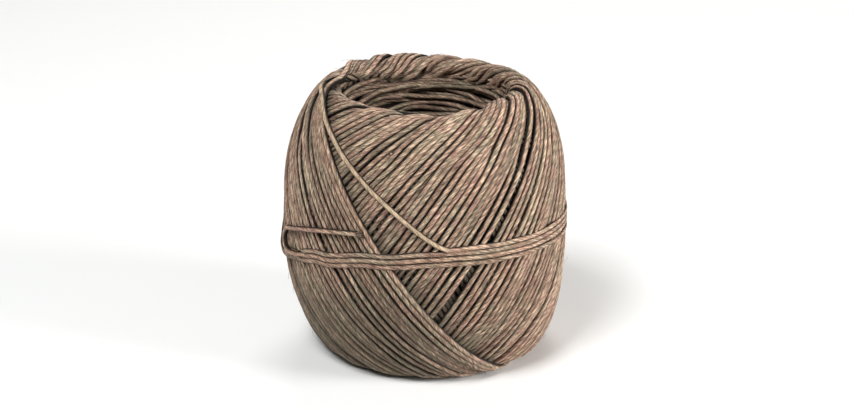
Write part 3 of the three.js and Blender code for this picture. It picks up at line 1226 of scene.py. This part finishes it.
    def under_piece(self, finish: bpy.types.Material) -> bpy.types.Object:
        """The round beneath, which shows in the gaps.

        Args:
            finish: the material.

        Returns:
            The piece.
        """
        random = np.random.RandomState(23)
        strands = Strands()
        count = int(round(360 / self.pitch))
        bundle = Bundle(-180, 360, (np.zeros(count), np.zeros(count)))
        for number in range(count):
            points, outward, girth, _ = self.turn_path(
                bundle, number, self.under_points, random, self.form.fall_per_round)
            strands.add(points, outward, random.uniform(0, 1), self.under_shade, girth,
                        closed=True)
        return self.sweep.sweep(
            strands, "under_turns", self.width, self.height, self.hidden_sides, finish)

    def core_piece(self, finish: bpy.types.Material) -> bpy.types.Object:
        """Older turns that line the open core, nearly level and a little wavy.

        Args:
            finish: the material.

        Returns:
            The piece.
        """
        random = np.random.RandomState(37)
        strands = Strands()
        edge = float(self.form.reach_at(np.array(self.form.tilt))) + self.rim_lip
        azimuth = np.arange(0, 360, 4.0)
        turn = np.radians(azimuth)
        whole = 2 * self.form.length
        for layer, drop in self.core_layers:
            start = edge - 0.6 - layer * 1.3
            for number, reach in enumerate(np.arange(start, whole - start, self.core_pitch)):
                wave = ripple(random, turn, (1, 2, 3, 5, 7), least=0.3, falling=True)
                line = reach + self.core_wave * wave
                side = np.where(line > self.form.length, -1.0, 1.0)
                along = np.where(side > 0, line, whole - line)
                hollow = self.core_hollow * near(along - edge, self.core_hollow_spread)
                swell = self.core_swell * np.cos(3 * turn + number * 2.1 + layer)
                points, outward = self.form.place(
                    azimuth, side * along, self.core_level - drop - hollow + swell)
                strands.add(points, outward, random.uniform(0, 1), self.core_shade,
                            self.core_girth, closed=True)
        return self.sweep.sweep(
            strands, "core_turns", self.width, self.height, self.hidden_sides, finish)

    def heart_piece(self, finish: bpy.types.Material) -> bpy.types.Object:
        """The closed body beneath the strands, painted dark as the shade deep between them.

        Args:
            finish: the material.

        Returns:
            The piece.
        """
        columns = self.heart_columns
        reach = np.concatenate([
            np.arange(self.form.length, 0, -self.heart_step),
            -np.arange(0, self.form.length, self.heart_step)])
        azimuth = np.arange(columns) * 360 / columns
        rings = []
        for row in reach:
            in_core = abs(row) >= self.heart_core_reach
            depth = self.heart_core_depth if in_core else self.heart_depth
            points, _ = self.form.place(azimuth, np.full(columns, row), np.full(columns, depth))
            rings.append(points)
        faces = []
        for row in range(len(reach)):
            here, next_row = row * columns, (row + 1) % len(reach) * columns
            for column in range(columns):
                beside = (column + 1) % columns
                faces.append((here + column, next_row + column, next_row + beside,
                              here + beside))
        mesh = bpy.data.meshes.new("heart_in_painted_shade")
        mesh.from_pydata((np.concatenate(rings) * METRES).tolist(), [], faces)
        mesh.polygons.foreach_set("use_smooth", [True] * len(mesh.polygons))
        mesh.materials.append(finish)
        return linked("heart_in_painted_shade", mesh)

    def fibre_piece(self, finish: bpy.types.Material) -> bpy.types.Object:
        """Sparse loose fibres that stand off the outer turns.

        Args:
            finish: the material.

        Returns:
            The piece.
        """
        random = np.random.RandomState(71)
        strands = Strands()
        bundles = self.bundles(random)
        for _ in range(self.fibres):
            bundle = bundles[random.randint(len(bundles))]
            points, outward, _, _ = self.turn_path(
                bundle, random.randint(bundle.count), 240, random)
            start = random.randint(len(points))
            here, out = points[start], outward[start]
            ahead = points[(start + 1) % len(points)] - here
            ahead /= np.linalg.norm(ahead)
            beside = np.cross(out, ahead)
            length = random.uniform(*self.fibre_length)
            lift = random.uniform(*self.fibre_lift)
            bend = random.uniform(-self.fibre_bend, self.fibre_bend)
            share = np.linspace(0, 1, 6)[:, None]
            route = (here + out * (0.5 + length * lift * share * (1.2 - 0.5 * share))
                     + ahead * length * share + beside * (bend * length * share ** 2))
            route[:, 2] = np.maximum(route[:, 2], self.fibre_lowest)
            strands.add(route, np.repeat(out[None], 6, 0), random.uniform(0, 1), 1.2,
                        1 - 0.6 * share[:, 0])
        return self.sweep.sweep(
            strands, "loose_fibres", self.fibre_thickness, self.fibre_thickness, 3, finish)

    def build(self, finish: bpy.types.Material, heart: bpy.types.Material) -> list:
        """Builds every piece of the wound ball.

        Args:
            finish: the material of the turns.
            heart: the material of the heart, painted dark as shade.

        Returns:
            The pieces.
        """
        made = self.outer_pieces(finish)
        made.append(self.under_piece(finish))
        made.append(self.core_piece(finish))
        made.append(self.heart_piece(heart))
        made.append(self.fibre_piece(finish))
        for piece in made:
            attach(piece, "root")
            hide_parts("wound_ball")
        return made


# ---------------------------------------------------------------- tie, lead turn and tail


@dataclass
class StrandRoute:
    """A strand laid over the ball by azimuth, height and lift above it."""

    form: WoundForm
    rest: float

    def over(self, rows: np.ndarray) -> np.ndarray:
        """Places of a strand given by rows of azimuth, height and lift.

        Args:
            rows: the route.

        Returns:
            Points of the row frame with the outward direction after them.
        """
        azimuth, height, lift = np.asarray(rows, float).T
        levels = bridged(self.form.tight_radius(azimuth, height))
        points = self.form.placed(azimuth, levels + self.rest + lift, height)
        turn = np.radians(azimuth)
        out = np.stack([np.sin(turn), -np.cos(turn), np.zeros_like(turn)], 1)
        return np.concatenate([points, out], 1)


@dataclass
class WaistTie:
    """The finishing turns round the waist, with the hitch at the left."""

    form: WoundForm
    sweep: SweepTree
    pitch: float = 1.70
    spread: float = -0.05
    spread_azimuths: tuple[float, float] = (5, 45)
    sway: float = 0.07
    width: float = 1.78
    height: float = 1.25
    sides: int = 12
    rest: float = -0.30
    # Azimuth and height of the middle of three strands
    heights: tuple = ((-90, -8.4), (-75, -6.7), (-60, -4.4), (-45, -2.2), (-21, 0.9), (0, 1.9),
                      (10, 2.1), (32, 1.5), (58, 1.0), (90, 0.1), (112, -1.5), (135, -3.9),
                      (160, -6.2), (182, -8.0), (206, -9.2), (230, -9.8), (250, -9.5),
                      (270, -8.4))
    # Azimuth, height and lift
    hitch: tuple = ((-110, 3.2, -0.9), (-103, 2.2, -0.5), (-97, 0.4, -0.2), (-91.5, -2.4, 0.1),
                    (-88, -5.2, 0.5), (-85, -7.8, 0.9), (-81, -9.3, 0.7), (-76, -9.2, 0.4),
                    (-70, -8.2, 0.3), (-64, -7.0, 0.2), (-58, -6.0, -0.1), (-53, -5.0, -0.4),
                    (-49, -4.2, -0.9))
    # How much the tie stands out at the left, by azimuth
    left_azimuth: float = -84.0
    left_spread: float = 20.0
    left_rise: float = 0.35
    # How far the lowest strand parts from the others at the right, and where
    parting: float = 0.7
    parting_start: tuple[float, float] = (48, 68)
    parting_end: tuple[float, float] = (110, 140)
    # Where the third strand comes out, where the fourth joins, and where both go under
    upper_start: float = -62.0
    joined_start: float = 9.2
    under_end: float = 274.0
    # Degrees over which a strand comes out, goes under and settles beside its neighbour
    enter_over: float = 9.0
    leave_over: float = 8.0
    settle_over: float = 14.0
    # How far a strand lies lower, and deeper, where it comes out or goes under
    enter_drop: float = 1.4
    buried: float = 1.0
    joined_drop: float = 0.50
    joined_lift: float = 0.4
    point_spacing: float = 1.5
    hitch_spacing: float = 0.9

    def middle(self, azimuth: np.ndarray) -> np.ndarray:
        """Height of the middle of the three strands.

        Args:
            azimuth: degrees round the ball.

        Returns:
            The height at each azimuth.
        """
        at = np.mod(np.asarray(azimuth, float) + 90, 360) - 90
        known = np.array(self.heights)
        index = np.clip(np.searchsorted(known[:, 0], at, side="right"), 1, len(known) - 1)
        before, after = known[index - 1], known[index]
        share = smooth_share(before[:, 0], after[:, 0], at)
        return before[:, 1] + (after[:, 1] - before[:, 1]) * share

    def strand_rows(self, start: float, end: float, number: float) -> np.ndarray:
        """Route rows of one strand of the tie.

        Args:
            start: azimuth where it begins.
            end: azimuth where it ends.
            number: its place above the middle, in strands.

        Returns:
            Rows of azimuth, height and lift.
        """
        azimuth = np.arange(start, end + 0.01, 2.0)
        sway = self.sway * np.sin(np.radians(azimuth * 3 + number * 80))
        at = turned(azimuth)
        pitch = self.pitch + self.spread * smooth_share(*self.spread_azimuths, at)
        parted = smooth_share(*self.parting_start, at) * (1 - smooth_share(*self.parting_end, at))
        apart = self.parting * parted if number < 0 else 0.0
        height = self.middle(azimuth) + number * pitch + sway - apart
        lift = self.left_rise * near(turned(azimuth - self.left_azimuth), self.left_spread)
        return np.stack([azimuth, height, lift], 1)

    def going_under(self, azimuth: np.ndarray) -> np.ndarray:
        """Depth of a strand where it goes under at its end."""
        return self.buried * (1 - np.clip((self.under_end - azimuth) / self.leave_over, 0, 1))

    def build(self, finish: bpy.types.Material) -> list[bpy.types.Object]:
        """Builds the tie as one piece.

        Args:
            finish: the material.

        Returns:
            The piece, in a list.
        """
        route = StrandRoute(self.form, self.rest)
        strands = Strands()
        for number, tint in ((-1, 0.35), (0, 0.75)):
            rows = self.strand_rows(-180, 178, number)
            strands.add_line(smooth_line(route.over(rows), self.point_spacing, closed=True),
                             tint, 1.0, closed=True)
        upper = self.strand_rows(self.upper_start, self.under_end, 1)
        enter = np.clip((upper[:, 0] - self.upper_start) / self.enter_over, 0, 1)
        upper[:, 1] -= self.enter_drop * (1 - enter)
        upper[:, 2] -= self.buried * (1 - enter) + self.going_under(upper[:, 0])
        strands.add_line(smooth_line(route.over(upper), self.point_spacing), 0.5, 1.0)
        joined = self.strand_rows(self.joined_start, self.under_end, 2)
        settle = 1 - smooth_share(0, self.settle_over, joined[:, 0] - self.joined_start)
        joined[:, 1] -= self.joined_drop * settle
        joined[:, 2] += self.joined_lift * settle - self.going_under(joined[:, 0])
        strands.add_line(smooth_line(route.over(joined), self.point_spacing), 0.9, 1.0)
        hitch = smooth_line(route.over(np.array(self.hitch)), self.hitch_spacing)
        strands.add_line(hitch, 0.2, 0.9)
        piece = self.sweep.sweep(
            strands, "waist_tie_turns", self.width, self.height, self.sides, finish)
        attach(piece, "root")
        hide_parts("waist_tie")
        return [piece]


@dataclass
class LeadTurn:
    """The strand that leaves the rim and runs down the front into the waist tie."""

    form: WoundForm
    sweep: SweepTree
    width: float = 1.75
    height: float = 1.35
    sides: int = 12
    rest: float = 0.30
    girth: float = 1.12
    shade: float = 0.92
    # Azimuth, latitude and lift
    route: tuple = ((-92, 54.2, -2.4), (-87, 53.9, -0.9), (-82, 53.6, 0), (-76, 52.9, 0.2),
                    (-67.7, 51.4, 0.3), (-56, 47.0, 0.1), (-46.3, 42.4, 0), (-37.8, 37.6, 0),
                    (-30.6, 33.2, 0), (-24.3, 29.1, 0), (-18, 24.9, 0), (-12, 20.7, 0),
                    (-6.2, 16.3, 0), (-0.2, 11.8, 0), (4.8, 8.5, 0.1), (9.2, 6.4, 0.1))

    def build(self, finish: bpy.types.Material) -> list[bpy.types.Object]:
        """Builds the lead turn.

        Args:
            finish: the material.

        Returns:
            The piece, in a list.
        """
        azimuth, latitude, lift = np.array(self.route, float).T
        beside = [self.form.relief(azimuth + shift, latitude) for shift in (-6, 0, 6)]
        levels = bridged(np.max(beside, axis=0))
        points, outward = self.form.place(
            azimuth, self.form.reach_at(latitude), levels + self.rest + lift)
        line = smooth_line(np.concatenate([points, outward], 1), 1.2)
        strands = Strands()
        strands.add_line(line, 0.9, self.shade, self.girth)
        piece = self.sweep.sweep(
            strands, "lead_turn_strand", self.width, self.height, self.sides, finish)
        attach(piece, "root")
        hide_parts("lead_turn")
        return [piece]


@dataclass
class FreeTail:
    """The free end: out of the tie, back on itself in one small loop, to its frayed end."""

    form: WoundForm
    sweep: SweepTree
    diameter: float = 1.7
    sides: int = 12
    rest: float = 0.3
    lift_share: float = 0.75
    shade: float = 1.1
    # Azimuth, height and lift
    route: tuple = ((-55.5, -3.8, -1.2), (-58, -4.1, 0.1), (-61, -4.5, 1.0),
                    (-64.3, -4.8, 1.34), (-67.6, -4.7, 1.34), (-70.4, -4.1, 1.18),
                    (-72.2, -2.6, 0.86), (-72.6, -0.9, 0.54), (-71.4, 0.7, 0.2),
                    (-68.9, 1.8, 0.1), (-65.6, 2.5, 0),
                    (-62, 3.3, 0), (-57.5, 4.4, 0), (-53, 5.4, 0), (-48.5, 6.3, 0),
                    (-44, 7.1, 0), (-39, 7.8, 0), (-34, 8.4, 0), (-30, 8.8, 0), (-26.6, 9.1, 0))
    fray_fibres: int = 26
    fray_length: tuple[float, float] = (1.0, 2.4)
    fray_spread: tuple[float, float] = (0.2, 1.1)
    fray_thickness: float = 0.32
    fray_flatness: float = 0.55
    # How far the fibres start inside the end
    fray_inside: float = 0.6

    def build(self, finish: bpy.types.Material) -> list[bpy.types.Object]:
        """Args:
            finish: the material.

        Returns:
            The pieces.
        """
        rows = np.array(self.route, float)
        rows[:, 2] *= self.lift_share
        line = smooth_line(StrandRoute(self.form, self.rest).over(rows), 0.7)
        places = line[:, :3]
        strands = Strands()
        strands.add_line(line, 0.55, self.shade)
        piece = self.sweep.sweep(
            strands, "free_tail", self.diameter, self.diameter, self.sides, finish)
        fray = self.fray(places, line[:, 3:], finish)
        for made in (piece, fray):
            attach(made, "root")
        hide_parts("tail")
        return [piece, fray]

    def fray(self, places: np.ndarray, outward: np.ndarray,
             finish: bpy.types.Material) -> bpy.types.Object:
        """Loose fibres that fan out of the free end.

        Args:
            places: the tail's centre line.
            outward: its directions outwards.
            finish: the material.

        Returns:
            The piece.
        """
        random = np.random.RandomState(5)
        end = places[-1]
        ahead = places[-1] - places[-3]
        ahead /= np.linalg.norm(ahead)
        out = outward[-1] / np.linalg.norm(outward[-1])
        beside = np.cross(out, ahead)
        strands = Strands()
        for _ in range(self.fray_fibres):
            turn = random.uniform(0, WHOLE_TURN)
            start = 0.5 * math.sqrt(random.uniform(0, 1))
            spread = random.uniform(*self.fray_spread)
            length = random.uniform(*self.fray_length)
            share = np.linspace(0, 1, 6)[:, None]
            aside = beside * math.cos(turn) + out * math.sin(turn) * self.fray_flatness
            route = (end - ahead * self.fray_inside + aside * start
                     + ahead * (length + self.fray_inside) * share
                     + aside * spread * share ** 1.6)
            strands.add(route, np.repeat(out[None], 6, 0), random.uniform(0, 1), self.shade,
                        1 - 0.5 * share[:, 0])
        return self.sweep.sweep(
            strands, "tail_fray", self.fray_thickness, self.fray_thickness, 5, finish)


# ---------------------------------------------------------------- studio


@dataclass
class Studio:
    """Camera at the photograph's angle, pale floor and soft lights."""

    form: WoundForm
    elevation: float = 20.5
    distance: float = 700.0
    lens: float = 92.36
    sensor_width: float = 36.0
    aim_right: float = 0.70
    aim_up: float = 2.89
    floor_half: float = 6.0
    # Name, place and side in metres, power in watts, and colour
    lamps: tuple = (
        ("right_light", (0.98, -0.32, 0.34), 0.40, 13.6, (0.97, 0.94, 0.915)),
        ("left_top_light", (-0.35, -0.48, 0.92), 0.40, 11.0, (0.97, 0.98, 0.975)),
        ("back_light", (0.10, 0.95, 0.95), 0.60, 8.0, (1.0, 0.98, 0.96)),
    )
    lamps_aim: tuple[float, float, float] = (0, 0, 0.045)
    surroundings: tuple[float, float, float, float] = (0.90, 1.0, 0.98, 1.0)
    surroundings_strength: float = 0.11

    def camera(self) -> None:
        """Makes the camera."""
        turn = math.radians(self.elevation)
        middle = np.array([self.form.axis_x, self.form.axis_y, self.form.rest_depth])
        back = np.array([0.0, -math.cos(turn), math.sin(turn)])
        up = np.array([0.0, math.sin(turn), math.cos(turn)])
        shift = np.array([self.aim_right, 0.0, 0.0]) + up * self.aim_up
        data = bpy.data.cameras.new("photo_camera")
        data.lens = self.lens
        data.sensor_width = self.sensor_width
        data.clip_start, data.clip_end = 0.01, 20.0
        made = linked("photo_camera", data)
        made.location = (middle + back * self.distance + shift) * METRES
        made.rotation_euler = Vector(-back).to_track_quat("-Z", "Y").to_euler()
        bpy.context.scene.camera = made

    def floor(self, finish: bpy.types.Material) -> None:
        """Makes the floor.

        Args:
            finish: the material.
        """
        mesh = bpy.data.meshes.new("pale_floor")
        half = self.floor_half
        corners = [(-half, -half, 0), (half, -half, 0), (half, half, 0), (-half, half, 0)]
        mesh.from_pydata(corners, [], [(0, 1, 2, 3)])
        mesh.materials.append(finish)
        made = linked("pale_floor", mesh)

    def lights(self) -> None:
        """Adds the soft lights, which face the ball, and the pale surroundings."""
        for name, place, size, power, colour in self.lamps:
            data = bpy.data.lights.new(name, "AREA")
            data.shape = "SQUARE"
            data.size = size
            data.energy = power
            data.color = colour
            made = linked(name, data)
            made.location = place
            aim = Vector(self.lamps_aim) - Vector(place)
            made.rotation_euler = aim.to_track_quat("-Z", "Y").to_euler()
        world = bpy.data.worlds.new("pale_surroundings")
        world.use_nodes = True
        background = world.node_tree.nodes["Background"]
        background.inputs[0].default_value = self.surroundings
        background.inputs[1].default_value = self.surroundings_strength
        bpy.context.scene.world = world
        bpy.context.scene.view_settings.view_transform = "Standard"


def main() -> None:
    """Builds the scene in order and reports each piece."""
    logging.basicConfig(level=logging.INFO, format="%(name)s: %(message)s", stream=sys.stdout)
    form = WoundForm()
    studio = Studio(form)
    studio.camera()
    sweep = SweepTree()
    tie_finish = TIE_FINISH.material()
    made = FreeTail(form, sweep).build(tie_finish)
    made += WaistTie(form, sweep).build(tie_finish)
    made += LeadTurn(form, sweep).build(LEAD_FINISH.material())
    made += WoundBall(form, sweep).build(WOUND_FINISH.material(), HEART_SHADE_FINISH.material())
    studio.floor(FLOOR_FINISH.material())
    studio.lights()
    for piece in made:
        piece.data.calc_loop_triangles()
        LOG.info("%s: %d triangles", piece.name, len(piece.data.loop_triangles))


if __name__ == "__main__":
    main()
